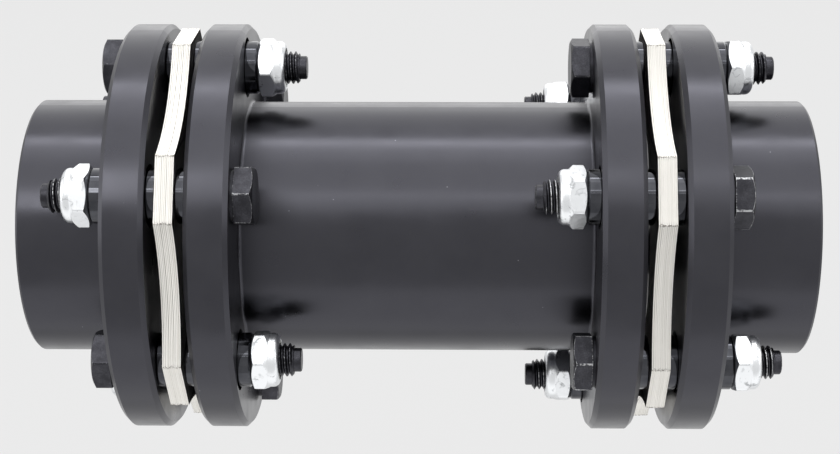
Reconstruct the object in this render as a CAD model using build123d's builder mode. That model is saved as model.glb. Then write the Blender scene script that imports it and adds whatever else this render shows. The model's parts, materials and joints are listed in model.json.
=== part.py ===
from build123d import *
import math

# Spacer-type double disc coupling, in millimetres.  +X runs along the shafts, +Z is up, and the origin is on
# the axis at the middle of the spacer.  Two keyed hubs carry a flanged tube between two packs of thin steel
# discs.  Round each pack six bolts clamp the discs in turn to the hub's flange and to the spacer's flange, so
# torque goes through the discs while they bend a little for misaligned shafts.

# ---------------------------------------------------------------- driving dimensions
# Shaft seats
bore_diameter = 35.0
keyway_width = 10.0
keyway_depth = 3.3  # above the top of the bore
bore_chamfer = 1.0

# Hubs and spacer
flange_diameter = 102.0
flange_thickness = 10.2
flange_chamfer = 1.1
rim_metal = 2.0  # left between a flange's rim and its wide holes
hub_length = 34.0  # with its flange
hub_end_chamfer = 0.6
spanner_room = 2.25  # from the corners of the bolt heads down to the hub's barrel
spacer_length = 105.0  # over both flanges
tube_step = 0.35  # how far the tube lies below the hubs' barrels
tube_wall = 8.0
root_fillet = 0.8  # where a barrel meets its flange

# Disc packs
sheet_thickness = 0.4
sheet_count = 11
disc_flat_width = 15.8  # straight outer edge beside each bolt
disc_outer_metal = 3.8  # between a bolt hole and that edge
disc_inner_metal = 4.5  # between a bolt hole and the disc's bore
disc_hollow_depth = 7.1  # of a scallop, below the ends of the straight edges

# Bolt pattern
bolts_per_pack = 6
first_bolt_angle = 30.0  # degrees from +Y towards +Z

# Bolts, M8
bolt_diameter = 8.0
bolt_end = 5.15  # stands out of the nut, pilot included
pilot_diameter = 5.7
pilot_length = 1.8
thread_end_chamfer = 0.6
head_flats = 13.0
head_height = 5.3
head_washer_face = 0.7
head_washer_face_diameter = 12.2
head_crown_angle = 30.0  # of the turned corners on the heads

# Washers and sleeves
washer_diameter = 13.0
washer_thickness = 2.3
washer_edge = 0.3
sleeve_diameter = 13.0
sleeve_stand_out = 3.0  # above the flange it passes through
sleeve_edge = 0.4

# Lock nuts
nut_flats = 13.0
nut_hexagon_height = 4.25
nut_height = 6.65
nut_crown_angle = 48.0  # of the turned corners next to the collar
nut_corner_drop = 0.9  # turned off the corners next to the seat
nut_seat_angle = 30.0  # of those corners
lock_ring_width = 1.25  # from its bore to its outside
lock_ring_height = 1.2
collar_wall = 1.15  # round the lock ring
collar_round = 1.5
collar_lip = 0.45  # thickness folded over the lock ring
collar_overhang = 0.5  # how far that fold reaches inwards

# Clearances, on the diameter
bolt_hole_clearance = 0.2
sleeve_hole_clearance = 1.8
nut_thread_clearance = 0.1
lock_ring_clearance = 0.06

# How far each hexagon was left turned when it was tightened, degrees, bolts 1 to 6
left_head_turns = (12.0, 39.0, 37.0, 44.0, 47.0, 20.0)
left_nut_turns = (25.0, 58.0, 9.0, 44.0, 50.0, 33.0)
right_head_turns = (30.0, 1.0, 4.0, 41.0, 15.0, 52.0)
right_nut_turns = (39.0, 44.0, 9.0, 39.0, 29.0, 21.0)

# ---------------------------------------------------------------- sizes and places that follow from them
HEX = 6
HEX_CORNER = 1 / math.cos(math.radians(180 / HEX))  # corner radius over half the flats
HEAD_CROWN_SLOPE = math.tan(math.radians(head_crown_angle))
NUT_CROWN_SLOPE = math.tan(math.radians(nut_crown_angle))
NUT_SEAT_SLOPE = math.tan(math.radians(nut_seat_angle))

head_corner = head_flats / 2 * HEX_CORNER
nut_corner = nut_flats / 2 * HEX_CORNER
bolt_hole = bolt_diameter + bolt_hole_clearance
sleeve_hole = sleeve_diameter + sleeve_hole_clearance
lock_ring_bore = bolt_diameter + lock_ring_clearance
lock_ring_diameter = lock_ring_bore + 2 * lock_ring_width
collar_hole = lock_ring_diameter + lock_ring_clearance
collar_diameter = collar_hole + 2 * collar_wall
collar_mouth = collar_hole - 2 * collar_overhang
ring_floor = nut_height - collar_lip - lock_ring_height  # above the nut's seat

# The widest holes set the bolt circle inside the flange, and the bolt heads set the barrels inside that.
bolt_circle = flange_diameter - 2 * rim_metal - sleeve_hole
hub_diameter = bolt_circle - 2 * (head_corner + spanner_room)
tube_diameter = hub_diameter - 2 * tube_step
tube_bore = tube_diameter - 2 * tube_wall

disc_bore = bolt_circle - bolt_hole - 2 * disc_inner_metal
disc_flat_distance = (bolt_circle + bolt_hole) / 2 + disc_outer_metal  # from the axis
disc_corner_radius = math.hypot(disc_flat_distance, disc_flat_width / 2)
disc_waist_radius = disc_corner_radius - disc_hollow_depth

pack_thickness = sheet_thickness * sheet_count
spacer_face = spacer_length / 2
pack_near_face = spacer_face + washer_thickness
pack_far_face = pack_near_face + pack_thickness
hub_face = pack_far_face + washer_thickness
hub_end = hub_face + hub_length

sleeve_length = washer_thickness + flange_thickness + sleeve_stand_out
bolt_length = flange_thickness + washer_thickness + pack_thickness + sleeve_length + nut_height + bolt_end

bolt_step = 360.0 / bolts_per_pack
alternate_bolts = bolts_per_pack // 2


# ---------------------------------------------------------------- planes
def station(index: int, x: float, facing: int) -> Plane:
    """The plane across bolt hole `index` at `x`, whose normal points along +X or -X as `facing` is 1 or -1."""
    angle = math.radians(first_bolt_angle + index * bolt_step)
    radius = bolt_circle / 2
    return Plane((x, radius * math.cos(angle), radius * math.sin(angle)), x_dir=(0, 1, 0), z_dir=(facing, 0, 0))


def half_section(seat: Plane) -> Plane:
    """The plane through a seat's own axis: radius to the right, height above the seat upwards."""
    return Plane(seat.origin, x_dir=seat.x_dir, z_dir=-seat.y_dir)


def seat_axis(seat: Plane) -> Axis:
    """The line through a seat's origin, along its normal."""
    return Axis(seat.origin, seat.z_dir)


# ---------------------------------------------------------------- hubs and spacer
def flange_holes(face: float, nuts_here: bool) -> Sketch:
    """A flange's six bolt holes, drawn on the face at `face`: tight for bolts and wide for sleeves, in turn.

    Args:
        face: where the drawing plane is along X.
        nuts_here: True where the first bolt's nut is on this flange, so that its hole is a wide one.
    """
    tight_start = first_bolt_angle + (bolt_step if nuts_here else 0)
    wide_start = first_bolt_angle + (0 if nuts_here else bolt_step)
    with BuildSketch(Plane.YZ.offset(face)) as holes:
        with PolarLocations(bolt_circle / 2, alternate_bolts, start_angle=tight_start):
            Circle(bolt_hole / 2)
        with PolarLocations(bolt_circle / 2, alternate_bolts, start_angle=wide_start):
            Circle(sleeve_hole / 2)
    return holes.sketch


def hub(side: int) -> BuildPart:
    """A keyed hub, its flange towards the spacer.

    Args:
        side: -1 for the hub at the left end of the coupling, 1 for the one at the right.
    """
    flange_back = hub_face + flange_thickness
    with BuildPart() as body:
        with BuildSketch(Plane.XZ):
            with BuildLine():
                Polyline(
                    (side * hub_face, bore_diameter / 2),
                    (side * hub_face, flange_diameter / 2),
                    (side * flange_back, flange_diameter / 2),
                    (side * flange_back, hub_diameter / 2),
                    (side * hub_end, hub_diameter / 2),
                    (side * hub_end, bore_diameter / 2),
                    close=True,
                )
            make_face()
        revolve(axis=Axis.X)
        circles = body.edges().filter_by(GeomType.CIRCLE)
        root = circles.filter_by(lambda e: abs(e.radius - hub_diameter / 2) < 0.01).sort_by(Axis.X)
        rims = circles.filter_by(lambda e: abs(e.radius - flange_diameter / 2) < 0.01)
        bores = circles.filter_by(lambda e: abs(e.radius - bore_diameter / 2) < 0.01)
        inner, outer = (root[-1], root[0]) if side < 0 else (root[0], root[-1])
        fillet(inner, radius=root_fillet)
        chamfer(outer, length=hub_end_chamfer)
        chamfer(rims, length=flange_chamfer)
        chamfer(bores, length=bore_chamfer)
        holes = flange_holes(min(side * hub_face, side * flange_back), nuts_here=side < 0)
        extrude(holes, amount=flange_thickness, mode=Mode.SUBTRACT)
        with BuildSketch(Plane.YZ.offset(min(side * hub_face, side * hub_end))):
            with Locations((0, bore_diameter / 2)):
                Rectangle(keyway_width, 2 * keyway_depth)
        extrude(amount=hub_length, mode=Mode.SUBTRACT)
    return body


def flanged_tube() -> BuildPart:
    """The spacer: a bored tube with a flange at each end."""
    flange_back = spacer_face - flange_thickness
    with BuildPart() as body:
        with BuildSketch(Plane.XZ):
            with BuildLine():
                Polyline(
                    (-spacer_face, tube_bore / 2),
                    (-spacer_face, flange_diameter / 2),
                    (-flange_back, flange_diameter / 2),
                    (-flange_back, tube_diameter / 2),
                    (flange_back, tube_diameter / 2),
                    (flange_back, flange_diameter / 2),
                    (spacer_face, flange_diameter / 2),
                    (spacer_face, tube_bore / 2),
                    close=True,
                )
            make_face()
        revolve(axis=Axis.X)
        circles = body.edges().filter_by(GeomType.CIRCLE)
        fillet(circles.filter_by(lambda e: abs(e.radius - tube_diameter / 2) < 0.01), radius=root_fillet)
        chamfer(circles.filter_by(lambda e: abs(e.radius - flange_diameter / 2) < 0.01), length=flange_chamfer)
        chamfer(circles.filter_by(lambda e: abs(e.radius - tube_bore / 2) < 0.01), length=bore_chamfer)
        extrude(flange_holes(-spacer_face, nuts_here=False), amount=flange_thickness, mode=Mode.SUBTRACT)
        extrude(flange_holes(flange_back, nuts_here=True), amount=flange_thickness, mode=Mode.SUBTRACT)
    return body


# ---------------------------------------------------------------- disc packs
def disc_sheet(x: float) -> BuildPart:
    """One scalloped sheet whose lower face is at `x`: a flat outer edge at each bolt, a hollow one between."""
    half_flat = math.degrees(math.atan(disc_flat_width / 2 / disc_flat_distance))
    with BuildPart() as sheet:
        with BuildSketch(Plane.YZ.offset(x)):
            with BuildLine():
                for n in range(bolts_per_pack):
                    bolt = first_bolt_angle + n * bolt_step
                    flat_start = PolarLine((0, 0), disc_corner_radius, bolt - half_flat, mode=Mode.PRIVATE) @ 1
                    flat_end = PolarLine((0, 0), disc_corner_radius, bolt + half_flat, mode=Mode.PRIVATE) @ 1
                    waist = PolarLine((0, 0), disc_waist_radius, bolt + bolt_step / 2, mode=Mode.PRIVATE) @ 1
                    next_angle = bolt + bolt_step - half_flat
                    next_start = PolarLine((0, 0), disc_corner_radius, next_angle, mode=Mode.PRIVATE) @ 1
                    Line(flat_start, flat_end)
                    ThreePointArc(flat_end, waist, next_start)
            make_face()
            Circle(disc_bore / 2, mode=Mode.SUBTRACT)
            with PolarLocations(bolt_circle / 2, bolts_per_pack, start_angle=first_bolt_angle):
                Circle(bolt_hole / 2, mode=Mode.SUBTRACT)
        extrude(amount=sheet_thickness)
    return sheet


def disc_pack(x: float) -> Compound:
    """A stack of separate sheets, face to face, whose lower face is at `x`."""
    return Compound(children=[disc_sheet(x + n * sheet_thickness).part for n in range(sheet_count)])


# ---------------------------------------------------------------- fasteners
def clamp_bolt(seat: Plane, turn: float) -> BuildPart:
    """A hexagon bolt whose head stands on `seat` and whose shank runs down from it to a turned pilot tip."""
    crown_drop = (head_corner - head_flats / 2) * HEAD_CROWN_SLOPE
    with BuildPart() as bolt:
        with BuildSketch(seat.offset(head_washer_face)):
            RegularPolygon(head_flats / 2, HEX, major_radius=False, rotation=turn)
        extrude(amount=head_height - head_washer_face)
        with BuildSketch(half_section(seat)):
            with BuildLine():
                Polyline(
                    (0, 0),
                    (head_corner, 0),
                    (head_corner, head_height - crown_drop),
                    (head_flats / 2, head_height),
                    (0, head_height),
                    close=True,
                )
            make_face()
        revolve(axis=seat_axis(seat), mode=Mode.INTERSECT)
        with BuildSketch(half_section(seat)):
            with BuildLine():
                Polyline(
                    (0, head_washer_face),
                    (head_washer_face_diameter / 2, head_washer_face),
                    (head_washer_face_diameter / 2, 0),
                    (bolt_diameter / 2, 0),
                    (bolt_diameter / 2, pilot_length + thread_end_chamfer - bolt_length),
                    (bolt_diameter / 2 - thread_end_chamfer, pilot_length - bolt_length),
                    (pilot_diameter / 2, pilot_length - bolt_length),
                    (pilot_diameter / 2, -bolt_length),
                    (0, -bolt_length),
                    close=True,
                )
            make_face()
        revolve(axis=seat_axis(seat))
    return bolt


def ring(seat: Plane, outer: float, inner: float, height: float, edge: float) -> BuildPart:
    """A turned ring standing on `seat`, its outer edges broken by `edge`."""
    with BuildPart() as turned:
        with BuildSketch(half_section(seat)):
            with BuildLine():
                Polyline(
                    (inner / 2, 0),
                    (outer / 2 - edge, 0),
                    (outer / 2, edge),
                    (outer / 2, height - edge),
                    (outer / 2 - edge, height),
                    (inner / 2, height),
                    close=True,
                )
            make_face()
        revolve(axis=seat_axis(seat))
    return turned


def lock_nut(seat: Plane, turn: float) -> BuildPart:
    """A hexagon nut on `seat` whose round collar is folded in over a lock ring."""
    hole = (bolt_diameter + nut_thread_clearance) / 2
    with BuildPart() as nut:
        with BuildSketch(seat):
            RegularPolygon(nut_flats / 2, HEX, major_radius=False, rotation=turn)
        extrude(amount=nut_hexagon_height)
        with BuildSketch(half_section(seat)):
            with BuildLine():
                Polyline(
                    (0, 0),
                    (nut_corner - nut_corner_drop / NUT_SEAT_SLOPE, 0),
                    (nut_corner, nut_corner_drop),
                    (nut_corner, nut_hexagon_height - (nut_corner - collar_diameter / 2) * NUT_CROWN_SLOPE),
                    (collar_diameter / 2, nut_hexagon_height),
                    (0, nut_hexagon_height),
                    close=True,
                )
            make_face()
        revolve(axis=seat_axis(seat), mode=Mode.INTERSECT)
        with BuildSketch(half_section(seat)):
            with BuildLine():
                Polyline((0, 0), (collar_diameter / 2, 0), (collar_diameter / 2, nut_height - collar_round))
                TangentArc(
                    (collar_diameter / 2, nut_height - collar_round),
                    (collar_diameter / 2 - collar_round, nut_height),
                    tangent=(0, 1),
                )
                Polyline((collar_diameter / 2 - collar_round, nut_height), (0, nut_height), (0, 0))
            make_face()
        revolve(axis=seat_axis(seat))
        with BuildSketch(half_section(seat)):
            with BuildLine():
                Polyline(
                    (0, 0),
                    (hole, 0),
                    (hole, ring_floor),
                    (collar_hole / 2, ring_floor),
                    (collar_hole / 2, nut_height - collar_lip),
                    (collar_mouth / 2, nut_height - collar_lip),
                    (collar_mouth / 2, nut_height),
                    (0, nut_height),
                    close=True,
                )
            make_face()
        revolve(axis=seat_axis(seat), mode=Mode.SUBTRACT)
    return nut


def lock_rings(seats: list[Plane]) -> BuildPart:
    """The nylon rings of one pack's six nuts, each a separate ring in its collar."""
    with BuildPart() as rings:
        for seat in seats:
            with BuildSketch(seat.offset(ring_floor)):
                Circle(lock_ring_diameter / 2)
                Circle(lock_ring_bore / 2, mode=Mode.SUBTRACT)
            extrude(amount=lock_ring_height)
    return rings


# ---------------------------------------------------------------- assembly
def write(piece: Compound, name: str) -> None:
    """Label a finished piece and write it as one STEP file."""
    piece.label = name
    export_step(piece, f"parts/{name}.step")


def write_pack(side_name: str, low: float, head_turns: tuple, nut_turns: tuple) -> None:
    """Write one disc pack with its fasteners.

    Args:
        side_name: "left" or "right".
        low: where the pack's lower face is along X.
        head_turns: how far each bolt head is turned, bolts 1 to 6.
        nut_turns: how far each nut is turned, nuts 1 to 6.
    """
    high = low + pack_thickness
    nut_seats = []
    write(disc_pack(low), f"{side_name}_disc_pack")
    for index in range(bolts_per_pack):
        # Heads point along +X on every other bolt, starting with the first, and along -X on the rest.
        facing = 1 if index % 2 == 0 else -1
        head_side, nut_side = (high, low) if facing > 0 else (low, high)
        head_seat = station(index, head_side + facing * (washer_thickness + flange_thickness), facing)
        nut_seat = station(index, nut_side - facing * sleeve_length, -facing)
        nut_seats.append(nut_seat)
        number = index + 1
        bolt = clamp_bolt(head_seat, facing * head_turns[index])
        washer = ring(station(index, head_side, facing), washer_diameter, bolt_hole, washer_thickness, washer_edge)
        sleeve = ring(station(index, nut_side, -facing), sleeve_diameter, bolt_hole, sleeve_length, sleeve_edge)
        nut = lock_nut(nut_seat, -facing * nut_turns[index])
        write(bolt.part, f"{side_name}_bolt_{number}")
        write(washer.part, f"{side_name}_washer_{number}")
        write(sleeve.part, f"{side_name}_sleeve_{number}")
        write(nut.part, f"{side_name}_nut_{number}")
    write(lock_rings(nut_seats).part, f"{side_name}_lock_rings")


write(hub(-1).part, "left_hub")
write(hub(1).part, "right_hub")
write(flanged_tube().part, "spacer")
write_pack("left", -pack_far_face, left_head_turns, left_nut_turns)
write_pack("right", pack_near_face, right_head_turns, right_nut_turns)
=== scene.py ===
"""A spacer-type double disc coupling, dressed over its CAD frame.

Two keyed hubs carry a flanged tube between two packs of thin stainless discs.  The turned parts, washers, sleeves
and lock rings keep their CAD shapes and get their finishes here.  The disc packs, bolts and lock nuts are made
anew: loose laminations, cut threads, forged heads and plated nuts.
"""

from __future__ import annotations

import json
import logging
import math
import random
from collections.abc import Callable, Sequence
from dataclasses import dataclass, field
from enum import Enum
from functools import partial

import bpy
from mathutils import Matrix, Vector
from mathutils.geometry import tessellate_polygon

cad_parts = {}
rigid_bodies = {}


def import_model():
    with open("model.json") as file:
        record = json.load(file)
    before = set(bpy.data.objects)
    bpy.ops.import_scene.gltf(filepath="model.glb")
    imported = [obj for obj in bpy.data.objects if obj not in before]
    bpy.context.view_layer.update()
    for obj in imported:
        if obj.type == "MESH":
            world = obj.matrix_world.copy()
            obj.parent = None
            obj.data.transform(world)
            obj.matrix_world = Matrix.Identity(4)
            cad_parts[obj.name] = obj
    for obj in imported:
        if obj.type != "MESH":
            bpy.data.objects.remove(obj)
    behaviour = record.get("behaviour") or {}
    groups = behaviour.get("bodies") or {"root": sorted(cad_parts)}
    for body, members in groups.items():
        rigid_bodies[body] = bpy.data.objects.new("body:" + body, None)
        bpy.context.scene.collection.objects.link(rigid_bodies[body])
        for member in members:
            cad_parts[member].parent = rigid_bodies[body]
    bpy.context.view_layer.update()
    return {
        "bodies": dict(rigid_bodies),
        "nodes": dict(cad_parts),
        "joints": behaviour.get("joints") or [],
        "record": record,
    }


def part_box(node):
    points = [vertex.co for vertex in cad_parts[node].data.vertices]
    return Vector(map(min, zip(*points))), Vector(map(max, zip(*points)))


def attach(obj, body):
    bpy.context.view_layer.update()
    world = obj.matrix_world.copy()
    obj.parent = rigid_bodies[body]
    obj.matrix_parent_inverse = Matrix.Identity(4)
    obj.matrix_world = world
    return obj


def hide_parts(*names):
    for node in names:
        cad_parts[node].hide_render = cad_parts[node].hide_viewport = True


LOG = logging.getLogger("disc_coupling")

MM = 0.001
BODY = "root"
BOLTS_PER_PACK = 6
BOLT_STEP = math.tau / BOLTS_PER_PACK
SIDES = 6
HALF_SIDE = math.pi / SIDES  # half of the angle that one side of a hexagon takes up

Inputs = dict[str | int, object]
Values = float | Sequence[float]


# ---------------------------------------------------------------- colours and nodes
SHARE, FIRST, SECOND, MIXED = 0, 6, 7, 2  # a colour mix node's three inputs and its output, by number


def linear(hex_colour: str) -> tuple[float, float, float, float]:
    """Turn an sRGB hex colour into a linear colour with full alpha.

    Args:
        hex_colour: six hex digits after a hash sign.

    Returns:
        Red, green, blue and alpha, each from 0 to 1.
    """
    channels = [int(hex_colour[i : i + 2], 16) / 255 for i in (1, 3, 5)]
    red, green, blue = (c / 12.92 if c <= 0.04045 else ((c + 0.055) / 1.055) ** 2.4 for c in channels)
    return (red, green, blue, 1.0)


def fill_inputs(tree: bpy.types.NodeTree, node: bpy.types.Node, inputs: Inputs) -> None:
    """Set or link a node's inputs.

    Args:
        tree: the node's tree.
        node: the node.
        inputs: a value or an output socket for each input, by name or number.
    """
    for key, value in inputs.items():
        if isinstance(value, bpy.types.NodeSocket):
            tree.links.new(value, node.inputs[key])
        else:
            node.inputs[key].default_value = value


def add_node(tree: bpy.types.NodeTree, kind: str, inputs: Inputs | None = None, **settings: object) -> bpy.types.Node:
    """Add one shader node with its settings, and set or link its inputs.

    Args:
        tree: the node tree that it joins.
        kind: the node's type name.
        inputs: a value or an output socket for each input, by name or number.
        settings: the node's own properties.

    Returns:
        The new node.
    """
    node = tree.nodes.new(kind)
    for name, value in settings.items():
        setattr(node, name, value)
    fill_inputs(tree, node, inputs or {})
    return node


def between(share: bpy.types.NodeSocket, first: str | bpy.types.NodeSocket, second: str) -> Inputs:
    """The inputs of a colour mix.

    Args:
        share: of the second colour, from 0 to 1.
        first: a hex colour or a socket that gives one.
        second: a hex colour.

    Returns:
        Each input by its number.
    """
    return {SHARE: share, FIRST: linear(first) if isinstance(first, str) else first, SECOND: linear(second)}


def per_metre(size_mm: float) -> float:
    """The texture scale at which one feature measures `size_mm` in coordinates given in metres."""
    return 1 / (size_mm * MM)


def scales(along_mm: float, round_mm: float) -> tuple[float, float, float]:
    """The texture scales of a pattern by its size along the shafts and its size round them."""
    return (per_metre(along_mm), per_metre(round_mm), per_metre(round_mm))


@dataclass(frozen=True)
class Ramp:
    """Where a mask starts and ends in a pattern's levels, and its strength at the end."""

    start: float
    end: float
    strength: float = 1.0

    def inputs(self, level: bpy.types.NodeSocket) -> Inputs:
        """The inputs that turn a level into the mask."""
        return {"Value": level, "From Min": self.start, "From Max": self.end, "To Max": self.strength}


class Mark(Enum):
    """Numbers that the meshes carry from vertex to shader."""

    WEAR = "edge_wear"
    TONE = "sheet_tone"
    # Near the folds: drives the dirt specks and the painted shade in the seams between sheets.
    FOLD = "fold_dirt"
    SEAM = "sheet_seam"


# ---------------------------------------------------------------- finishes
@dataclass(frozen=True)
class Finish:
    """What all finishes share: a name, and a material with the standard shader."""

    name: str = "finish"

    def start(self) -> tuple[bpy.types.Material, Callable[..., bpy.types.Node], bpy.types.NodeSocket]:
        """Start the material.

        Returns:
            The material, what adds a node to it, and the socket that tells where a point is, in metres.
        """
        material = bpy.data.materials.new(self.name)
        material.use_nodes = True
        add = partial(add_node, material.node_tree)
        return material, add, add("ShaderNodeTexCoord").outputs["Object"]


def shade(material: bpy.types.Material, inputs: Inputs) -> bpy.types.Material:
    """Set or link the inputs of a material's shader, and give the material back."""
    fill_inputs(material.node_tree, material.node_tree.nodes["Principled BSDF"], inputs)
    return material


@dataclass(frozen=True)
class Metal(Finish):
    """What the metals share: a roughness, and a fine relief that stands for the tool's or the plating's marks."""

    roughness: float = 0.3
    relief: float = 0.1
    relief_depth: float = 0.05  # mm

    def shade_metal(
        self, material: bpy.types.Material, colour: bpy.types.Node, height: bpy.types.NodeSocket, inputs: Inputs
    ) -> bpy.types.Material:
        """Give the material its colour, its relief and what else it needs.

        Args:
            material: the material.
            colour: the colour mix.
            height: the relief's height.
            inputs: the shader's other inputs.

        Returns:
            The same material.
        """
        bump = {"Strength": self.relief, "Distance": self.relief_depth * MM, "Height": height}
        normal = add_node(material.node_tree, "ShaderNodeBump", bump).outputs[0]
        metal = {"Base Color": colour.outputs[MIXED], "Metallic": 1.0, "Roughness": self.roughness, "Normal": normal}
        return shade(material, metal | inputs)


@dataclass(frozen=True)
class TurnedBlackOxide(Metal):
    """Mild steel, turned and then hot black-oxidised: a thin magnetite skin over fine tool marks.

    The eye sees a blue-black satin metal, nearly black head on and bright at a glancing angle, clouded a little by
    oil in the skin, with hair-fine rings round the axis and a few pale nicks.
    """

    name: str = "turned_black_oxide_steel"
    skin: str = "#49494e"
    oiled_skin: str = "#3f3f44"
    nick: str = "#8d8c92"
    roughness: float = 0.32
    roughness_swing: float = 0.05
    swing: Ramp = Ramp(0.3, 0.7)  # the levels of the oil's cloud between which the roughness swings
    stretch: float = 0.6  # of highlights across the tool marks
    stretch_turn: float = 0.25  # of a full turn, which lays that stretch along the axis
    cloud_size: float = 9.0  # mm
    tool_feed: float = 0.35  # mm; the real feed is about 0.15, drawn coarser so that it shows
    tool_mark_length: float = 14.0  # mm along the cut
    relief: float = 0.06
    relief_depth: float = 0.03  # mm
    grain_size: float = 0.3  # mm
    nick_spacing: float = 7.0  # mm
    nick_size: float = 0.16  # mm

    def build(self) -> bpy.types.Material:
        """Make the material.

        Returns:
            The new material.
        """
        material, add, place = self.start()
        cloud = add(
            "ShaderNodeTexNoise",
            {"Vector": place, "Scale": per_metre(self.cloud_size), "Detail": 4.0, "Roughness": 0.55},
        )
        ring_place = add(
            "ShaderNodeMapping", {"Vector": place, "Scale": scales(self.tool_feed, self.tool_mark_length)}
        )
        rings = add("ShaderNodeTexNoise", {"Vector": ring_place.outputs[0], "Scale": 1.0, "Roughness": 0.6})
        grain = add("ShaderNodeTexNoise", {"Vector": place, "Scale": per_metre(self.grain_size)})
        nicks = add("ShaderNodeTexVoronoi", {"Vector": place, "Scale": per_metre(self.nick_spacing)})
        nick_radius = self.nick_size / self.nick_spacing
        nick_mask = Ramp(nick_radius / 2, nick_radius, 0.0).inputs(nicks.outputs["Distance"])
        nicked = add("ShaderNodeMapRange", nick_mask | {"To Min": 1.0})
        skin = add("ShaderNodeMix", between(cloud.outputs["Fac"], self.oiled_skin, self.skin), data_type="RGBA")
        colour = add("ShaderNodeMix", between(nicked.outputs[0], skin.outputs[MIXED], self.nick), data_type="RGBA")
        swing = {"To Min": self.roughness - self.roughness_swing, "To Max": self.roughness + self.roughness_swing}
        shine = add("ShaderNodeMapRange", self.swing.inputs(cloud.outputs["Fac"]) | swing)
        height = add("ShaderNodeMath", {0: rings.outputs["Fac"], 1: grain.outputs["Fac"]}, operation="ADD")
        round_axis = add("ShaderNodeTangent", direction_type="RADIAL", axis="X")
        gloss = {
            "Roughness": shine.outputs[0],
            "Anisotropic": self.stretch,
            "Anisotropic Rotation": self.stretch_turn,
            "Tangent": round_axis.outputs[0],
        }
        return self.shade_metal(material, colour, height.outputs[0], gloss)


@dataclass(frozen=True)
class GroundBlackOxide(Metal):
    """Hardened steel, ground and polished before black-oxidising, as on thrust washers and sleeves.

    The eye sees a deep black mirror that shows the lamps as thin sharp lines.
    """

    name: str = "ground_black_oxide_steel"
    skin: str = "#2f3035"
    rubbed: str = "#545559"
    roughness: float = 0.06
    rub_size: float = 3.0  # mm
    grinding_pitch: float = 0.25  # mm; the real one is finer, drawn coarser so that it shows
    grinding_length: float = 6.0  # mm
    relief: float = 0.08
    relief_depth: float = 0.02  # mm

    def build(self) -> bpy.types.Material:
        """Make the material.

        Returns:
            The new material.
        """
        material, add, place = self.start()
        rub = add("ShaderNodeTexNoise", {"Vector": place, "Scale": per_metre(self.rub_size), "Detail": 3.0})
        colour = add("ShaderNodeMix", between(rub.outputs["Fac"], self.skin, self.rubbed), data_type="RGBA")
        line_place = add(
            "ShaderNodeMapping", {"Vector": place, "Scale": scales(self.grinding_pitch, self.grinding_length)}
        )
        lines = add("ShaderNodeTexNoise", {"Vector": line_place.outputs[0], "Scale": 1.0})
        return self.shade_metal(material, colour, lines.outputs["Fac"], {})


@dataclass(frozen=True)
class ForgedBlackOxide(Metal):
    """Alloy bolt steel, cold-forged, heat-treated and black-oxidised without polishing.

    The eye sees a dull grainy charcoal whose corners and thread crests have been rubbed down to bright steel.
    """

    name: str = "forged_black_oxide_bolt_steel"
    skin: str = "#343438"
    scale_grain: str = "#48484d"
    bare_steel: str = "#c4c5c7"
    roughness: float = 0.38
    grain_size: float = 0.32  # mm
    graininess: Ramp = Ramp(0.16, 0.42)  # of the scale
    patch_size: float = 2.5  # mm
    rub_size: float = 0.45  # mm, of the breaks in the worn edges
    rub: Ramp = Ramp(0.24, 0.42, 0.85)  # of the worn edges, down to bare steel
    relief: float = 0.5
    relief_depth: float = 0.05  # mm

    def build(self) -> bpy.types.Material:
        """Make the material.

        Returns:
            The new material.
        """
        material, add, place = self.start()
        grain = add(
            "ShaderNodeTexNoise",
            {"Vector": place, "Scale": per_metre(self.grain_size), "Detail": 3.0, "Roughness": 0.65},
        )
        patch = add("ShaderNodeTexNoise", {"Vector": place, "Scale": per_metre(self.patch_size)})
        blend = add("ShaderNodeMath", {0: grain.outputs["Fac"], 1: patch.outputs["Fac"]}, operation="MULTIPLY")
        grainy = add("ShaderNodeMapRange", self.graininess.inputs(blend.outputs[0]))
        skin = add("ShaderNodeMix", between(grainy.outputs[0], self.skin, self.scale_grain), data_type="RGBA")
        wear = add("ShaderNodeAttribute", attribute_name=Mark.WEAR.value)
        breaks = add("ShaderNodeTexNoise", {"Vector": place, "Scale": per_metre(self.rub_size)})
        rubbed = add("ShaderNodeMath", {0: wear.outputs["Fac"], 1: breaks.outputs["Fac"]}, operation="MULTIPLY")
        bare = add("ShaderNodeMapRange", self.rub.inputs(rubbed.outputs[0]))
        colour = add("ShaderNodeMix", between(bare.outputs[0], skin.outputs[MIXED], self.bare_steel), data_type="RGBA")
        return self.shade_metal(material, colour, grain.outputs["Fac"], {})


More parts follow.
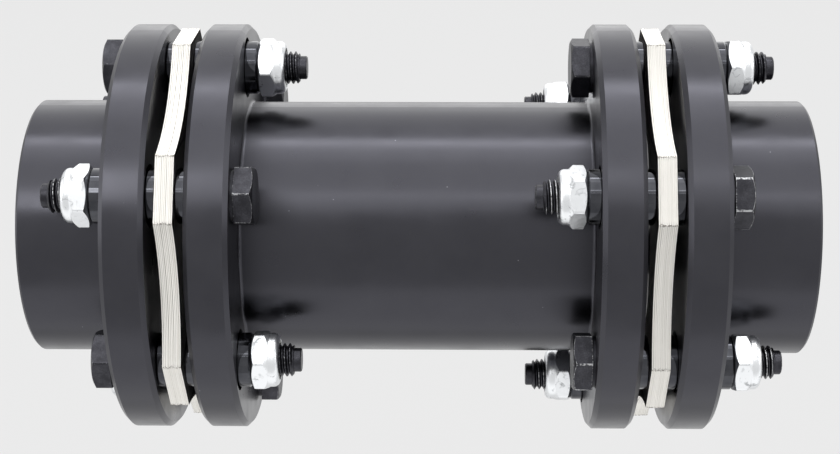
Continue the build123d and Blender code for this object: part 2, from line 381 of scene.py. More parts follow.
@dataclass(frozen=True)
class BrightZinc(Metal):
    """Steel nuts, barrel-plated in bright zinc with a clear passivate.

    The eye sees a nearly white mirror, softly uneven from tumbling, with grey smudges from the spanner.
    """

    name: str = "bright_zinc_plate"
    plate: str = "#eaecee"
    smudge: str = "#8e9193"
    roughness: float = 0.32
    ripple_size: float = 1.6  # mm
    relief: float = 0.35
    relief_depth: float = 0.12  # mm
    smudge_size: float = 2.2  # mm
    smudging: Ramp = Ramp(0.58, 0.72, 0.8)  # by the spanner
    scratch_size: float = 0.5  # mm
    scuffing: Ramp = Ramp(0.45, 0.6, 0.5)  # of the corners

    def build(self) -> bpy.types.Material:
        """Make the material.

        Returns:
            The new material.
        """
        material, add, place = self.start()
        smear = add(
            "ShaderNodeTexNoise",
            {"Vector": place, "Scale": per_metre(self.smudge_size), "Detail": 4.0, "Distortion": 1.2},
        )
        scratches = add(
            "ShaderNodeTexNoise", {"Vector": place, "Scale": per_metre(self.scratch_size), "Detail": 3.0}
        )
        wear = add("ShaderNodeAttribute", attribute_name=Mark.WEAR.value)
        smeared = add("ShaderNodeMapRange", self.smudging.inputs(smear.outputs["Fac"]))
        scuff = add("ShaderNodeMath", {0: wear.outputs["Fac"], 1: scratches.outputs["Fac"]}, operation="MULTIPLY")
        scuffed = add("ShaderNodeMapRange", self.scuffing.inputs(scuff.outputs[0]))
        dulled = add("ShaderNodeMath", {0: smeared.outputs[0], 1: scuffed.outputs[0]}, operation="MAXIMUM")
        colour = add("ShaderNodeMix", between(dulled.outputs[0], self.plate, self.smudge), data_type="RGBA")
        ripple = add("ShaderNodeTexNoise", {"Vector": place, "Scale": per_metre(self.ripple_size)})
        return self.shade_metal(material, colour, ripple.outputs["Fac"], {})


@dataclass(frozen=True)
class SpringStainless(Metal):
    """Cold-rolled spring stainless, laser-cut: bright rolled faces and edges cut square across the sheet.

    The eye sees a stack of ivory-white edges, each sheet a shade apart, with brown oil dirt caught at the folds.
    The laser's striations run through the stack, so that the edges scatter light round the shafts, not along them.
    """

    name: str = "laser_cut_spring_stainless"
    bright: str = "#f5f3ee"
    dull: str = "#e3e0d9"
    # Brown oil dirt for the specks at the folds; also the painted shade in the seams between sheets near the folds.
    dirt_and_seam_shade: str = "#4c4336"
    seam_shade: float = 0.9  # painted shade in the seams between sheets, for each unit of the fold's own mark
    roughness: float = 0.5
    scatter: float = 0.97  # of light round the shafts rather than along them
    cut_pitch: float = 0.22  # mm between the laser's striations
    relief: float = 0.15
    relief_depth: float = 0.02  # mm
    cloud_size: float = 5.0  # mm
    speck_size: float = 0.35  # mm
    specking: Ramp = Ramp(0.42, 0.56, 0.85)  # with dirt, near the folds

    def build(self) -> bpy.types.Material:
        """Make the material.

        Returns:
            The new material.
        """
        material, add, place = self.start()
        tone, fold, seam = (
            add("ShaderNodeAttribute", attribute_name=mark.value).outputs["Fac"]
            for mark in (Mark.TONE, Mark.FOLD, Mark.SEAM)
        )
        cloud = add("ShaderNodeTexNoise", {"Vector": place, "Scale": per_metre(self.cloud_size), "Detail": 3.0})
        tint = add("ShaderNodeMath", {0: tone, 1: cloud.outputs["Fac"]}, operation="MULTIPLY")
        metal = add("ShaderNodeMix", between(tint.outputs[0], self.bright, self.dull), data_type="RGBA")
        specks = add(
            "ShaderNodeTexNoise",
            {"Vector": place, "Scale": per_metre(self.speck_size), "Detail": 3.0, "Roughness": 0.7},
        )
        caught = add("ShaderNodeMath", {0: fold, 1: specks.outputs["Fac"]}, operation="MULTIPLY")
        specked = add("ShaderNodeMapRange", self.specking.inputs(caught.outputs[0]))
        # Painted shade: the seams between sheets are darkened near the folds and a little way along the scallops.
        shade_near_fold = add("ShaderNodeMath", {0: fold, 1: self.seam_shade}, operation="MULTIPLY")
        painted_seam_shade = add("ShaderNodeMath", {0: seam, 1: shade_near_fold.outputs[0]}, operation="MULTIPLY")
        dirt_and_shade = add("ShaderNodeMath", {0: specked.outputs[0], 1: painted_seam_shade.outputs[0]}, operation="MAXIMUM")
        colour = add("ShaderNodeMix", between(dirt_and_shade.outputs[0], metal.outputs[MIXED], self.dirt_and_seam_shade), data_type="RGBA")
        cut_place = add("ShaderNodeMapping", {"Vector": place, "Scale": scales(self.cloud_size, self.cut_pitch)})
        cuts = add("ShaderNodeTexNoise", {"Vector": cut_place.outputs[0], "Scale": 1.0, "Detail": 1.0})
        round_axis = add("ShaderNodeTangent", direction_type="RADIAL", axis="X")
        gloss = {"Anisotropic": self.scatter, "Tangent": round_axis.outputs[0]}
        return self.shade_metal(material, colour, cuts.outputs["Fac"], gloss)


@dataclass(frozen=True)
class NaturalNylon(Finish):
    """Polyamide 66, moulded and undyed: a milky ring with a soft sheen."""

    name: str = "moulded_natural_nylon"
    resin: str = "#c9c8be"
    shadowed: str = "#aaa99e"
    roughness: float = 0.45
    flow_size: float = 1.5  # mm
    refraction: float = 1.53

    def build(self) -> bpy.types.Material:
        """Make the material.

        Returns:
            The new material.
        """
        material, add, place = self.start()
        flow = add("ShaderNodeTexNoise", {"Vector": place, "Scale": per_metre(self.flow_size)})
        colour = add("ShaderNodeMix", between(flow.outputs["Fac"], self.shadowed, self.resin), data_type="RGBA")
        return shade(
            material,
            {"Base Color": colour.outputs[MIXED], "Roughness": self.roughness, "IOR": self.refraction},
        )


# ---------------------------------------------------------------- meshes
@dataclass
class Surface:
    """Vertices and faces on their way to a mesh, with one number a vertex for each mark."""

    points: list[Vector] = field(default_factory=list)
    faces: list[tuple[int, ...]] = field(default_factory=list)
    marks: dict[Mark, list[float]] = field(default_factory=dict)

    def add_ring(self, ring: Sequence[Vector], marks: dict[Mark, Sequence[float]]) -> list[int]:
        """Add a ring of points and return their numbers.

        Args:
            ring: the points in order.
            marks: a number for each point, for each mark.

        Returns:
            The numbers of the new points.
        """
        first = len(self.points)
        self.points.extend(ring)
        for mark, values in marks.items():
            self.marks.setdefault(mark, []).extend(values)
        return list(range(first, first + len(ring)))

    def bridge(self, ring: Sequence[int], following: Sequence[int]) -> None:
        """Join two rings of equal length with four-sided faces.

        Args:
            ring: the numbers of the first ring's points.
            following: the numbers of the second ring's points.
        """
        count = len(ring)
        for i in range(count):
            j = (i + 1) % count
            self.faces.append((ring[i], ring[j], following[j], following[i]))

    def to_object(self, name: str, material: bpy.types.Material, crease: float) -> bpy.types.Object:
        """Make the mesh and its object.

        Args:
            name: the name of both.
            material: its only material.
            crease: the angle in degrees above which an edge shows.

        Returns:
            The new object, linked to the scene.
        """
        mesh = bpy.data.meshes.new(name)
        mesh.from_pydata(self.points, [], self.faces)
        for mark, values in self.marks.items():
            mesh.attributes.new(mark.value, "FLOAT", "POINT").data.foreach_set("value", values)
        mesh.materials.append(material)
        mesh.shade_smooth()
        mesh.set_sharp_from_angle(angle=math.radians(crease))
        made = bpy.data.objects.new(name, mesh)
        bpy.context.scene.collection.objects.link(made)
        return made


@dataclass
class Lathe:
    """A surface that grows ring by ring round a fastener's axis."""

    frame: Matrix  # its Z is the axis
    angles: list[float]
    wear: float = 1.0  # of the whole piece, from 0 to 1
    surface: Surface = field(default_factory=Surface)
    rings: list[list[int]] = field(default_factory=list)

    def add(self, radii: Values, heights: Values, wear: Values = 0.0) -> None:
        """Add the next ring.

        Args:
            radii: of its points, or one for all.
            heights: of its points along the axis, or one for all.
            wear: of its points, or one for all.
        """
        count = len(self.angles)
        radii, heights, wear = ([v] * count if isinstance(v, (int, float)) else v for v in (radii, heights, wear))
        points = [
            self.frame @ Vector((r * math.cos(a), r * math.sin(a), h)) for a, r, h in zip(self.angles, radii, heights)
        ]
        self.rings.append(self.surface.add_ring(points, {Mark.WEAR: [self.wear * w for w in wear]}))


@dataclass(frozen=True)
class Seat:
    """A place where a fastener stands: a point, and whether its axis runs along +X (1) or -X (-1)."""

    point: Vector
    facing: int

    def matrix(self, turn: float) -> Matrix:
        """The seat's frame, with its own Z along the axis.

        Args:
            turn: how far the fastener is turned, in degrees, right-handed about +X.

        Returns:
            The frame.
        """
        across = Vector((0, 1, 0))
        along = Vector((self.facing, 0, 0))
        frame = Matrix((across, along.cross(across), along)).transposed().to_4x4()
        spin = Matrix.Rotation(math.radians(turn * self.facing), 4, "Z")
        return Matrix.Translation(self.point) @ frame @ spin


@dataclass(frozen=True)
class Hexagon:
    """The section of a hexagon with slightly rubbed corners."""

    flats: float
    corner_rub: float
    past_rub: float = 1.5  # degrees from a rubbed corner's end to the next point
    along_side: tuple[float, ...] = (7.0, 14.0, 22.0)  # degrees from the corner, for more points
    leeway: float = 1.01  # lets a point at a rubbed corner's very end count as part of it

    @property
    def corner(self) -> float:
        """The radius at a rubbed corner."""
        return self.flats / 2 / math.cos(HALF_SIDE) - self.corner_rub

    @property
    def rub_end(self) -> float:
        """The angle from a corner's middle to where the flat begins."""
        return HALF_SIDE - math.acos(self.flats / 2 / self.corner)

    def radius(self, angle: float) -> float:
        """The radius of the section at an angle in radians, with a corner at angle 0."""
        from_flat = (angle % (2 * HALF_SIDE)) - HALF_SIDE
        return min(self.flats / 2 / math.cos(from_flat), self.corner)

    def angles(self) -> list[float]:
        """Angles round the section, closer together near each corner.

        Returns:
            The angles in radians, from 0 up.
        """
        near = [0.0, self.rub_end, self.rub_end + math.radians(self.past_rub)]
        near += [math.radians(a) for a in self.along_side]
        side = near + [HALF_SIDE] + [2 * HALF_SIDE - a for a in reversed(near[1:])]
        return [k * math.tau / SIDES + a for k in range(SIDES) for a in side]

    def corner_wear(self, angle: float) -> float:
        """How worn the section is at an angle in radians: 1 at a corner, 0 along the flats."""
        from_corner = abs((angle + HALF_SIDE) % (2 * HALF_SIDE) - HALF_SIDE)
        return 1.0 if from_corner <= self.rub_end * self.leeway else 0.0


# ---------------------------------------------------------------- bolts and nuts
@dataclass
class ClampBolt:
    """An M8 hexagon bolt with a pilot tip: forged head, plain shank, cut thread."""

    name: str
    seat: Seat
    turn: float
    length: float  # under the head
    thread_from: float  # how far under the head the drawn thread starts
    wear: float  # of the head's edges, from 0 to 1
    major: float = 4.0 * MM
    minor: float = 3.28 * MM
    pitch: float = 1.25 * MM
    root_share: float = 0.18  # of half a pitch
    flank_share: float = 0.66  # of half a pitch
    rows_per_pitch: int = 18
    crest_wear: float = 1.0
    pilot_radius: float = 2.85 * MM
    pilot_length: float = 1.8 * MM
    end_chamfer: float = 0.6 * MM
    tip_round: float = 0.25 * MM
    tip_wear: tuple[float, ...] = (0.3, 0.8, 0.2)
    washer_face: float = 0.7 * MM
    washer_face_radius: float = 6.1 * MM
    height: float = 5.3 * MM
    flats: float = 13.0 * MM
    corner_rub: float = 0.12 * MM
    dish: tuple[tuple[float, float], ...] = ((0.35, 0.12 * MM), (0.82, 0.02 * MM))  # share of the top, and depth
    crown_inset: float = 0.25 * MM  # from the flats to the flat top
    crown_slope: float = math.tan(math.radians(30))
    least_land: float = 0.05 * MM  # the crown's least width inside the edge band
    edge_band: float = 0.2 * MM
    rim_wear: float = 0.8
    side_wear: float = 0.9
    foot_wear: float = 0.2
    hair: float = 0.02 * MM  # a step too small to see

    def thread_radius(self, angle: float, depth: float) -> float:
        """The radius of the right-hand thread.

        Args:
            angle: round the axis, in radians.
            depth: under the head.

        Returns:
            The radius there.
        """
        phase = (-depth / self.pitch - angle / math.tau) % 1.0
        slope = abs(phase - 0.5) * 2  # 1 at the crest, 0 at the root
        crest = min(max((slope - self.root_share) / self.flank_share, 0.0), 1.0)
        run_in = min(max((depth - self.thread_from) / self.pitch, 0.0), 1.0)
        cut = self.minor + (self.major - self.minor) * crest
        radius = self.major + (cut - self.major) * run_in
        thread_end = self.length - self.pilot_length
        return min(radius, self.major - self.end_chamfer + (thread_end - depth))

    def build(self, finish: bpy.types.Material) -> bpy.types.Object:
        """Make the bolt as one closed surface, from the head's top to the pilot's tip.

        Args:
            finish: its material.

        Returns:
            The bolt's object.
        """
        head = Hexagon(self.flats, self.corner_rub)
        lathe = Lathe(self.seat.matrix(self.turn), head.angles(), self.wear)
        self.build_head(head, lathe)
        count = len(lathe.angles)
        lathe.angles = [i * math.tau / count for i in range(count)]
        lathe.add(self.major, -self.thread_from * 0.5)
        self.build_thread(lathe)
        surface, rings = lathe.surface, lathe.rings
        surface.faces.append(tuple(rings[0]))
        for near, far in zip(rings, rings[1:]):
            surface.bridge(far, near)
        surface.faces.append(tuple(reversed(rings[-1])))
        return surface.to_object(self.name, finish, crease=32.0)

    def build_head(self, head: Hexagon, lathe: Lathe) -> None:
        """Add the head's rings, from its top to the shank.

        Args:
            head: its section.
            lathe: what takes the rings.
        """
        top, band = self.height, self.edge_band
        flat_top = self.flats / 2 - self.crown_inset
        sides = [head.radius(a) for a in lathe.angles]
        worn = [head.corner_wear(a) * self.side_wear for a in lathe.angles]
        land = [max(flat_top + self.least_land, r - band) for r in sides]
        land_height, crown = ([top - (r - flat_top) * self.crown_slope for r in radii] for radii in (land, sides))
        for share, depth in self.dish:
            lathe.add(flat_top * share, top - depth)
        lathe.add(flat_top - band, top)
        lathe.add(flat_top, top, self.rim_wear)
        lathe.add(land, land_height)
        lathe.add(sides, crown, 1.0)
        lathe.add(sides, [h - band for h in crown], worn)
        lathe.add(sides, self.washer_face + 3 * band, worn)
        lathe.add(sides, self.washer_face + band * 0.5, [1.0 if w else self.rim_wear for w in worn])
        lathe.add([r - band * 0.5 for r in sides], self.washer_face, self.foot_wear)
        lathe.add(self.washer_face_radius, self.washer_face)
        lathe.add(self.washer_face_radius, 0.0)
        lathe.add(self.major, 0.0)

    def build_thread(self, lathe: Lathe) -> None:
        """Add the thread's rings and the pilot's.

        Args:
            lathe: what takes the rings.
        """
        thread_end = self.length - self.pilot_length
        step = self.pitch / self.rows_per_pitch
        rows = int((thread_end - self.thread_from) / step)
        for k in range(rows + 1):
            depth = thread_end - (rows - k) * step
            radii = [max(self.thread_radius(a, depth), self.pilot_radius) for a in lathe.angles]
            crest_wear = self.crest_wear if depth > self.thread_from + self.pitch else 0.0
            lathe.add(radii, -depth, [crest_wear if r > self.major - self.hair else 0.0 for r in radii])
        lathe.add(self.pilot_radius, -thread_end - self.hair)
        side, edge, face = self.tip_wear
        lathe.add(self.pilot_radius, -self.length + self.tip_round, side)
        lathe.add(self.pilot_radius - self.tip_round, -self.length, edge)
        lathe.add(self.pilot_radius - 2 * self.tip_round, -self.length, face)


@dataclass
class LockNut:
    """An M8 lock nut: hexagon, turned corners, and a round collar folded over the nylon ring."""

    name: str
    seat: Seat
    turn: float
    bore_radius: float = 4.05 * MM
    countersink: float = 0.3 * MM
    bearing_radius: float = 5.9 * MM
    flats: float = 13.0 * MM
    corner_rub: float = 0.1 * MM
    hexagon_height: float = 4.25 * MM
    height: float = 6.65 * MM
    collar_radius: float = 6.45 * MM
    collar_foot: float = 0.2 * MM
    collar_flare: float = 0.03 * MM
    collar_round: float = 1.5 * MM
    collar_lip: float = 0.45 * MM
    mouth_round: float = 0.05 * MM
    mouth_radius: float = 4.81 * MM
    groove_radius: float = 5.31 * MM
    groove_floor: float = 5.0 * MM
    edge_band: float = 0.25 * MM
    hair: float = 0.02 * MM  # a step too small to see
    seat_slope: float = math.tan(math.radians(30))
    crown_slope: float = math.tan(math.radians(48))
    round_steps: int = 6
    bearing_wear: float = 0.6
    edge_wear: float = 0.9
    side_wear: float = 0.8
    foot_wear: float = 0.2
    mouth_wear: float = 0.5

    def build(self, finish: bpy.types.Material) -> bpy.types.Object:
        """Make the nut as one closed surface round its bore.

        Args:
            finish: its material.

        Returns:
            The nut's object.
        """
        section = Hexagon(self.flats, self.corner_rub)
        lathe = Lathe(self.seat.matrix(self.turn), section.angles())
        band = self.edge_band
        sides = [section.radius(a) for a in lathe.angles]
        worn = [section.corner_wear(a) * self.side_wear for a in lathe.angles]
        seat_chamfer = [(r - self.bearing_radius) * self.seat_slope for r in sides]
        crown = [self.hexagon_height - (r - self.collar_radius) * self.crown_slope for r in sides]
        lathe.add(self.bore_radius, self.countersink)
        lathe.add(self.bore_radius + self.countersink, 0.0)
        lathe.add(self.bearing_radius - band, 0.0)
        lathe.add(self.bearing_radius, 0.0, self.bearing_wear)
        lathe.add(sides, seat_chamfer, self.edge_wear)
        lathe.add(sides, [h + band for h in seat_chamfer], worn)
        lathe.add(sides, [h - band for h in crown], worn)
        lathe.add(sides, crown, self.edge_wear)
        lathe.add(self.collar_radius + self.collar_flare, self.hexagon_height - self.hair, self.foot_wear)
        lathe.add(self.collar_radius, self.hexagon_height + self.collar_foot)
        for k in range(self.round_steps + 1):
            bend = math.pi / 2 * k / self.round_steps
            radius = self.collar_radius - self.collar_round * (1 - math.cos(bend))
            lathe.add(radius, self.height - self.collar_round * (1 - math.sin(bend)))
        lathe.add(self.mouth_radius, self.height - self.mouth_round, self.mouth_wear)
        lathe.add(self.mouth_radius, self.height - self.collar_lip)
        lathe.add(self.groove_radius, self.height - self.collar_lip)
        lathe.add(self.groove_radius, self.groove_floor)
        lathe.add(self.bore_radius, self.groove_floor)
        rings = lathe.rings
        for near, far in zip(rings, rings[1:] + rings[:1]):
            lathe.surface.bridge(near, far)
        return lathe.surface.to_object(self.name, finish, crease=34.0)


# ---------------------------------------------------------------- disc packs
def directions(angle: float) -> tuple[Vector, Vector]:
    """The direction outwards at an angle from +Y towards +Z, and the one round, in a sheet's own plane."""
    return Vector((math.cos(angle), math.sin(angle), 0)), Vector((-math.sin(angle), math.cos(angle), 0))


def inset_loop(loop: Sequence[Vector], inset: float) -> list[Vector]:
    """Move each point of a closed, anticlockwise loop inwards.

    Args:
        loop: its points in order.
        inset: how far, or how far outwards where it is negative.

    Returns:
        The moved points.
    """
    moved = []
    for i, point in enumerate(loop):
        along = (loop[(i + 1) % len(loop)] - loop[i - 1]).normalized()
        moved.append(point + Vector((-along.y, along.x, 0)) * inset)
    return moved


@dataclass
class DiscPack:
    """Eleven loose scalloped sheets, stacked and clamped at six bolts."""

    name: str
    low: float
    high: float
    seed: int
    sheets: int = 11
    flat_distance: float = 49.5 * MM
    flat_width: float = 15.8 * MM
    hollow_depth: float = 7.1 * MM
    arc_steps: int = 30
    bore_radius: float = 33.0 * MM
    bore_steps: int = 96
    hole_radius: float = 4.1 * MM
    hole_steps: int = 32
    bolt_radius: float = 41.6 * MM
    first_bolt: float = 30.0  # degrees from +Y towards +Z
    cut_edge: float = 0.05 * MM
    stagger: float = 0.07 * MM
    fold_reach: float = 0.9 * MM
    fade_at: float = 0.4  # of that reach
    fade_mark: float = 0.8  # the fold's mark there
    run_down: float = 6.0 * MM  # how far the painted seam shade runs along the seams from a fold
    run_mark: float = 0.45  # its mark where it starts

    def outline(self) -> tuple[list[Vector], list[float]]:
        """One sheet's outer edge in its own plane, and how near each point is to a fold.

        Returns:
            Points whose first two coordinates are the sheet's Y and Z, and 1 at a fold down to 0 away from it.
        """
        corner = math.hypot(self.flat_distance, self.flat_width / 2)
        half_flat = math.atan(self.flat_width / 2 / self.flat_distance)
        waist = corner - self.hollow_depth
        half_chord = corner * math.sin(BOLT_STEP / 2 - half_flat)
        sagitta = corner * math.cos(BOLT_STEP / 2 - half_flat) - waist
        arc_radius = (half_chord**2 + sagitta**2) / (2 * sagitta)
        half_arc = math.asin(half_chord / arc_radius)
        arc_length = arc_radius * 2 * half_arc
        near, fade = self.fold_reach / self.flat_width, self.fold_reach / self.flat_width * self.fade_at
        flat_marks = {0.0: 1.0, fade: self.fade_mark, near: 0.0, 0.5: 0.0, 1 - near: 0.0, 1 - fade: self.fade_mark}
        near = self.fold_reach / arc_length
        spots = [0.0, near * self.fade_at, near]
        spots += [near + (1 - 2 * near) * k / self.arc_steps for k in range(1, self.arc_steps)]
        spots += [1 - near, 1 - near * self.fade_at]
        points: list[Vector] = []
        fold: list[float] = []
        for n in range(BOLTS_PER_PACK):
            bolt = math.radians(self.first_bolt) + n * BOLT_STEP
            out, side = directions(bolt)
            for t, mark in flat_marks.items():
                points.append(out * self.flat_distance + side * self.flat_width * (t - 0.5))
                fold.append(mark)
            out, side = directions(bolt + BOLT_STEP / 2)
            for k, t in enumerate(spots):
                bend = half_arc * (2 * t - 1)
                reach = waist + arc_radius * (1 - math.cos(bend))
                points.append(out * reach + side * arc_radius * math.sin(bend))
                # Painted seam shade fades along the scallop from each fold.
                crept = self.run_mark * max(0.0, 1 - arc_length * min(t, 1 - t) / self.run_down)
                fold.append({0: 1.0, 1: self.fade_mark}.get(min(k, len(spots) - k), crept))
        return points, fold

    def loops(self) -> list[tuple[list[Vector], list[float], int]]:
        """One sheet's outer edge, bore and holes.

        Returns:
            Each loop's points and fold marks, and 1 where metal lies inside it or -1 where it lies outside.
        """
        circles = [(Vector((0, 0, 0)), self.bore_radius, self.bore_steps)]
        for n in range(BOLTS_PER_PACK):
            out, _ = directions(math.radians(self.first_bolt) + n * BOLT_STEP)
            circles.append((out * self.bolt_radius, self.hole_radius, self.hole_steps))
        loops = [(*self.outline(), 1)]
        for centre, radius, count in circles:
            ring = [centre + directions(math.tau * i / count)[0] * radius for i in range(count)]
            loops.append((ring, [0.0] * count, -1))
        return loops

    def build(self, finish: bpy.types.Material) -> bpy.types.Object:
        """Make the stack, each sheet a closed plate with cut edges, a shade and a hair's breadth apart.

        Args:
            finish: its material.

        Returns:
            The pack's object.
        """
        chance = random.Random(self.seed)
        surface = Surface()
        loops = self.loops()
        thickness = (self.high - self.low) / self.sheets
        for n in range(self.sheets):
            tone = chance.random()
            drift = Vector((chance.uniform(-1, 1), chance.uniform(-1, 1), 0)) * self.stagger
            bottom = self.low + n * thickness
            levels = (
                (bottom, self.cut_edge, 1.0),
                (bottom + self.cut_edge, 0.0, 0.0),
                (bottom + thickness - self.cut_edge, 0.0, 0.0),
                (bottom + thickness, self.cut_edge, 1.0),
            )
            plates: list[list[list[int]]] = []
            for x, inset, seam in levels:
                rings = []
                for loop, fold, side in loops:
                    points = [Vector((x, p.x + drift.x, p.y + drift.y)) for p in inset_loop(loop, inset * side)]
                    count = len(points)
                    marks = {Mark.TONE: [tone] * count, Mark.FOLD: fold, Mark.SEAM: [seam] * count}
                    rings.append(surface.add_ring(points, marks))
                plates.append(rings)
            for below, above in zip(plates, plates[1:]):
                surface.bridge(below[0], above[0])
                for ring, following in zip(below[1:], above[1:]):
                    surface.bridge(following, ring)
            self.close_sheet(surface, plates[0], plates[-1][0][0] - plates[0][0][0])
        return surface.to_object(self.name, finish, crease=20.0)

    def close_sheet(self, surface: Surface, rings: list[list[int]], shift: int) -> None:
        """Close one sheet's two faces.

        Args:
            surface: what takes the faces.
            rings: the lower face's loops.
            shift: from the number of a lower point to that of the upper point over it.
        """
        flat = [[Vector((surface.points[i].y, surface.points[i].z, 0)) for i in ring] for ring in rings]
        numbers = [i for ring in rings for i in ring]
        for corners in tessellate_polygon(flat):
            face = tuple(numbers[i] for i in corners)
            p, q, r = (surface.points[i] for i in face)
            up = (q - p).cross(r - p).x > 0
            surface.faces.append(face[::-1] if up else face)
            lifted = tuple(i + shift for i in face)
            surface.faces.append(lifted if up else lifted[::-1])


# ---------------------------------------------------------------- assembly
class End(Enum):
    """The two ends of the coupling."""

    LEFT = "left"
    RIGHT = "right"


def bolt_axis(number: int) -> tuple[float, float]:
    """Where a bolt's axis is in Y and Z, from the washer that it goes through."""
    low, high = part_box(f"{End.LEFT.value}_washer_{number}")
    return (low[1] + high[1]) / 2, (low[2] + high[2]) / 2


def place(piece: bpy.types.Object, slot: str, node: str) -> None:
    """Let a new piece stand for a CAD node, on the coupling's one body.

    Args:
        piece: the new object.
        slot: the material slot of the record; not used.
        node: the CAD node that it replaces.
    """
    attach(piece, BODY)
    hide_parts(node)
    LOG.info("%s stands for %s with %d faces", piece.name, node, len(piece.data.polygons))


def dress(node: bpy.types.Object, finish: bpy.types.Material) -> None:
    """Give a CAD object one finish all over.

    Args:
        node: the object.
        finish: the material.
    """
    for material_slot in node.material_slots:
        material_slot.material = finish
    LOG.info("%s is dressed in %s", node.name, finish.name)


@dataclass
class BoltedPack:
    """One disc pack with its six bolts, washers, sleeves and lock nuts."""

    end: End
    head_turns: tuple[float, ...]
    head_wear: tuple[float, ...]
    nut_turns: tuple[float, ...]
    seed: int
    drawn_thread_in_nut: float = 1.5 * MM

    def build(self, nodes: dict[str, bpy.types.Object], finishes: dict[str, bpy.types.Material]) -> None:
        """Replace the pack, bolts and nuts, and dress the washers, sleeves and lock rings.

        Args:
            nodes: the CAD objects by name.
            finishes: the materials by slot name.
        """
        side = self.end.value
        low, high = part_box(f"{side}_disc_pack")
        pack = DiscPack(f"{side}_pack_sheets", low[0], high[0], self.seed).build(finishes["disc_stainless"])
        place(pack, "disc_stainless", f"{side}_disc_pack")
        for number in range(1, BOLTS_PER_PACK + 1):
            self.build_fasteners(number, finishes)
            dress(nodes[f"{side}_washer_{number}"], finishes["washer_steel"])
            dress(nodes[f"{side}_sleeve_{number}"], finishes["sleeve_steel"])
        dress(nodes[f"{side}_lock_rings"], finishes["lock_ring_nylon"])

    def build_fasteners(self, number: int, finishes: dict[str, bpy.types.Material]) -> None:
        """Make one bolt and its nut where the CAD has them.

        Args:
            number: the bolt's number in its pack, from 1.
            finishes: the materials by slot name.
        """
        side = self.end.value
        bolt_low, bolt_high = (Vector(corner).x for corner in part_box(f"{side}_bolt_{number}"))
        nut_low, nut_high = (Vector(corner).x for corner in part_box(f"{side}_nut_{number}"))
        facing = 1 if bolt_low < nut_low and nut_high < (bolt_low + bolt_high) / 2 else -1
        tip, head_top = (bolt_low, bolt_high)[::facing]
        nut_top, nut_seat = (nut_low, nut_high)[::facing]
        head_seat = head_top - facing * ClampBolt.height
        bolt = ClampBolt(
            name=f"{side}_bolt_{number}_threaded",
            seat=Seat(Vector((head_seat, *bolt_axis(number))), facing),
            turn=self.head_turns[number - 1],
            length=abs(head_seat - tip),
            thread_from=abs(head_seat - nut_top) - self.drawn_thread_in_nut,
            wear=self.head_wear[number - 1],
        ).build(finishes["bolt_steel"])
        place(bolt, "bolt_steel", f"{side}_bolt_{number}")
        nut = LockNut(
            name=f"{side}_nut_{number}_plated",
            seat=Seat(Vector((nut_seat, *bolt_axis(number))), -facing),
            turn=self.nut_turns[number - 1],
        ).build(finishes["nut_zinc"])
        place(nut, "nut_zinc", f"{side}_nut_{number}")


# ---------------------------------------------------------------- studio
@dataclass(frozen=True)
class Strip:
    """A long soft lamp parallel to the shafts, given by where it shows over the object."""

    name: str
    elevation: float  # degrees above the horizon, from the front; past 90 is behind
    spread: float  # degrees of that arc that it covers
    radiance: float
    length: float = 1.5
    along: float = 0.0  # how far its middle is to the right of the object
    distance: float = 1.3


@dataclass(frozen=True)
class SideBox:
    """A soft lamp beside the object, given by its middle in metres."""

    name: str
    middle: tuple[float, float, float]
    width: float
    height: float
    radiance: float


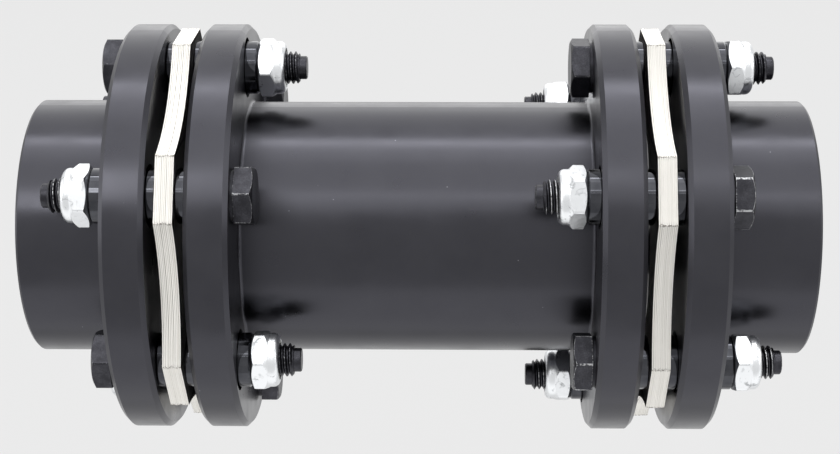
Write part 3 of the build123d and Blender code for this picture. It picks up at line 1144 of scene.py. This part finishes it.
@dataclass
class Studio:
    """A plain light room: a pale floor well below the coupling, an even surround and soft lamps."""

    backdrop: str = "#ebebeb"
    surround: str = "#b4b4b6"
    floor_paint: str = "#d4d4d4"
    floor_drop: float = 0.2
    floor_side: float = 9.0
    floor_glow: float = 0.9  # how much of the floor's pale colour doesn't depend on the lamps
    strips: tuple[Strip, ...] = (
        Strip("lamp_floor_panel", -58.0, 50.0, 0.387, distance=0.17),
        Strip("lamp_front_panel", 60.0, 38.0, 1.05),
        Strip("lamp_front_low_tube", 36.7, 1.0, 4.64),
        Strip("lamp_front_high_tube", 47.3, 1.0, 7.74),
        Strip("lamp_front_left_box", 38.0, 9.0, 0.928, length=0.5, along=-0.48),
        Strip("lamp_top_panel", 92.0, 24.0, 1.62),
        Strip("lamp_top_tube", 102.0, 5.0, 6.57),
        Strip("lamp_back_panel", 130.0, 40.0, 0.773),
        Strip("lamp_back_low_panel", 164.0, 28.0, 0.773),
    )
    side_boxes: tuple[SideBox, ...] = (
        SideBox("lamp_left_box", (-1.2, -0.15, 0.3), 1.0, 0.9, 1.39),
        SideBox("lamp_right_box", (1.2, -0.15, 0.45), 1.0, 0.7, 1.39),
        SideBox("lamp_near_left_box", (-0.114, -0.150, 0.124), 0.045, 0.05, 4.0),
    )

    def build(self) -> None:
        """Make the floor, the surround and the lamps."""
        self.build_floor()
        self.build_surround()
        for strip in self.strips:
            angle = math.radians(strip.elevation)
            middle = (strip.along, -strip.distance * math.cos(angle), strip.distance * math.sin(angle))
            width = 2 * strip.distance * math.tan(math.radians(strip.spread / 2))
            turned = Matrix.Rotation(math.pi / 2 - angle, 4, "X")
            self.build_lamp(strip.name, Matrix.Translation(middle) @ turned, strip.length, width, strip.radiance)
        for box in self.side_boxes:
            towards = (-Vector(box.middle)).to_track_quat("-Z", "Y").to_matrix().to_4x4()
            hanging = Matrix.Translation(box.middle) @ towards
            self.build_lamp(box.name, hanging, box.width, box.height, box.radiance)

    def seen_straight(self, tree: bpy.types.NodeTree) -> bpy.types.NodeSocket:
        """Tell rays from the camera, mirrors or glass from diffuse light.

        Args:
            tree: the node tree that needs it.

        Returns:
            A socket that is 1 for the former and 0 for the latter.
        """
        path = add_node(tree, "ShaderNodeLightPath").outputs
        seen = path["Is Camera Ray"]
        for name in ("Is Glossy Ray", "Is Transmission Ray"):
            seen = add_node(tree, "ShaderNodeMath", {0: seen, 1: path[name]}, operation="MAXIMUM").outputs[0]
        return seen

    def build_floor(self) -> None:
        """Make the floor, which keeps a soft shadow."""
        half = self.floor_side / 2
        mesh = bpy.data.meshes.new("studio_floor")
        corners = [(-half, -half), (half, -half), (half, half), (-half, half)]
        mesh.from_pydata([(x, y, -self.floor_drop) for x, y in corners], [], [(0, 1, 2, 3)])
        material = bpy.data.materials.new("matt_studio_floor")
        material.use_nodes = True
        tree = material.node_tree
        tree.nodes.clear()
        add = partial(add_node, tree)
        matt = add("ShaderNodeBsdfDiffuse", {"Color": linear(self.floor_paint)})
        glow = add("ShaderNodeEmission", {"Color": linear(self.backdrop), "Strength": 1.0})
        share = add("ShaderNodeMath", {0: self.seen_straight(tree), 1: self.floor_glow}, operation="MULTIPLY")
        mix = add("ShaderNodeMixShader", {0: share.outputs[0], 1: matt.outputs[0], 2: glow.outputs[0]})
        add("ShaderNodeOutputMaterial", {"Surface": mix.outputs[0]})
        mesh.materials.append(material)
        floor = bpy.data.objects.new("studio_floor", mesh)
        bpy.context.scene.collection.objects.link(floor)

    def build_surround(self) -> None:
        """Light the room evenly, and show it to the camera and to metal as the backdrop's colour."""
        world = bpy.data.worlds.new("studio_surround")
        world.use_nodes = True
        tree = world.node_tree
        tree.nodes.clear()
        add = partial(add_node, tree)
        fill = add("ShaderNodeBackground", {"Color": linear(self.surround), "Strength": 1.0})
        seen = add("ShaderNodeBackground", {"Color": linear(self.backdrop), "Strength": 1.0})
        mix = add("ShaderNodeMixShader", {0: self.seen_straight(tree), 1: fill.outputs[0], 2: seen.outputs[0]})
        add("ShaderNodeOutputWorld", {"Surface": mix.outputs[0]})
        bpy.context.scene.world = world

    def build_lamp(self, name: str, hanging: Matrix, length: float, width: float, radiance: float) -> None:
        """Hang one soft lamp.

        Args:
            name: of the lamp.
            hanging: where it hangs, shining along its own -Z.
            length: along its own X, in metres.
            width: along its own Y, in metres.
            radiance: of its face.
        """
        lamp = bpy.data.lights.new(name, "AREA")
        lamp.shape = "RECTANGLE"
        lamp.size = length
        lamp.size_y = width
        lamp.energy = radiance * math.pi * length * width
        hung = bpy.data.objects.new(name, lamp)
        hung.matrix_world = hanging
        bpy.context.scene.collection.objects.link(hung)


@dataclass
class ViewCamera:
    """The camera, a little above the coupling and in front of it."""

    position: Vector = field(default_factory=lambda: Vector((10.05, -399.3, 150.88)) * MM)
    target: Vector = field(default_factory=lambda: Vector((0.04, 0.0, -0.313)) * MM)
    roll: float = 0.303  # degrees
    lens: float = 71.78  # mm
    sensor: float = 36.0  # mm
    nearest: float = 0.01
    farthest: float = 50.0

    def build(self) -> None:
        """Make the camera and let the scene look through it."""
        camera = bpy.data.cameras.new("view_camera")
        camera.lens = self.lens
        camera.sensor_width = self.sensor
        camera.clip_start = self.nearest
        camera.clip_end = self.farthest
        held = bpy.data.objects.new("view_camera", camera)
        look = (self.target - self.position).to_track_quat("-Z", "Y").to_matrix().to_4x4()
        spin = Matrix.Rotation(math.radians(-self.roll), 4, "Z")
        held.matrix_world = Matrix.Translation(self.position) @ look @ spin
        bpy.context.scene.collection.objects.link(held)
        bpy.context.scene.camera = held


def main() -> None:
    """Load the frame, dress the coupling, light it and look at it."""
    logging.basicConfig(level=logging.INFO, format="%(name)s: %(message)s")
    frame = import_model()
    nodes = frame["nodes"]
    finishes = {
        "hub_steel": TurnedBlackOxide("turned_black_oxide_hub").build(),
        "tube_steel": TurnedBlackOxide("turned_black_oxide_tube").build(),
        "disc_stainless": SpringStainless().build(),
        "bolt_steel": ForgedBlackOxide().build(),
        "washer_steel": GroundBlackOxide("ground_black_oxide_washer").build(),
        "sleeve_steel": GroundBlackOxide("ground_black_oxide_sleeve").build(),
        "nut_zinc": BrightZinc().build(),
        "lock_ring_nylon": NaturalNylon().build(),
    }
    for node, slot in (("left_hub", "hub_steel"), ("right_hub", "hub_steel"), ("spacer", "tube_steel")):
        dress(nodes[node], finishes[slot])
    BoltedPack(
        End.LEFT,
        head_turns=(12, 39, 37, 44, 47, 20),
        head_wear=(0.5, 0.45, 0.64, 0.45, 0.6, 0.5),
        nut_turns=(25, 58, 9, 44, 50, 33),
        seed=7,
    ).build(nodes, finishes)
    BoltedPack(
        End.RIGHT,
        head_turns=(30, 1, 4, 41, 15, 52),
        head_wear=(0.5, 0.45, 0.84, 0.74, 0.6, 0.5),
        nut_turns=(39, 44, 9, 39, 29, 21),
        seed=19,
    ).build(nodes, finishes)
    Studio().build()
    ViewCamera().build()
    bpy.context.scene.view_settings.view_transform = "Standard"


if __name__ == "__main__":
    main()
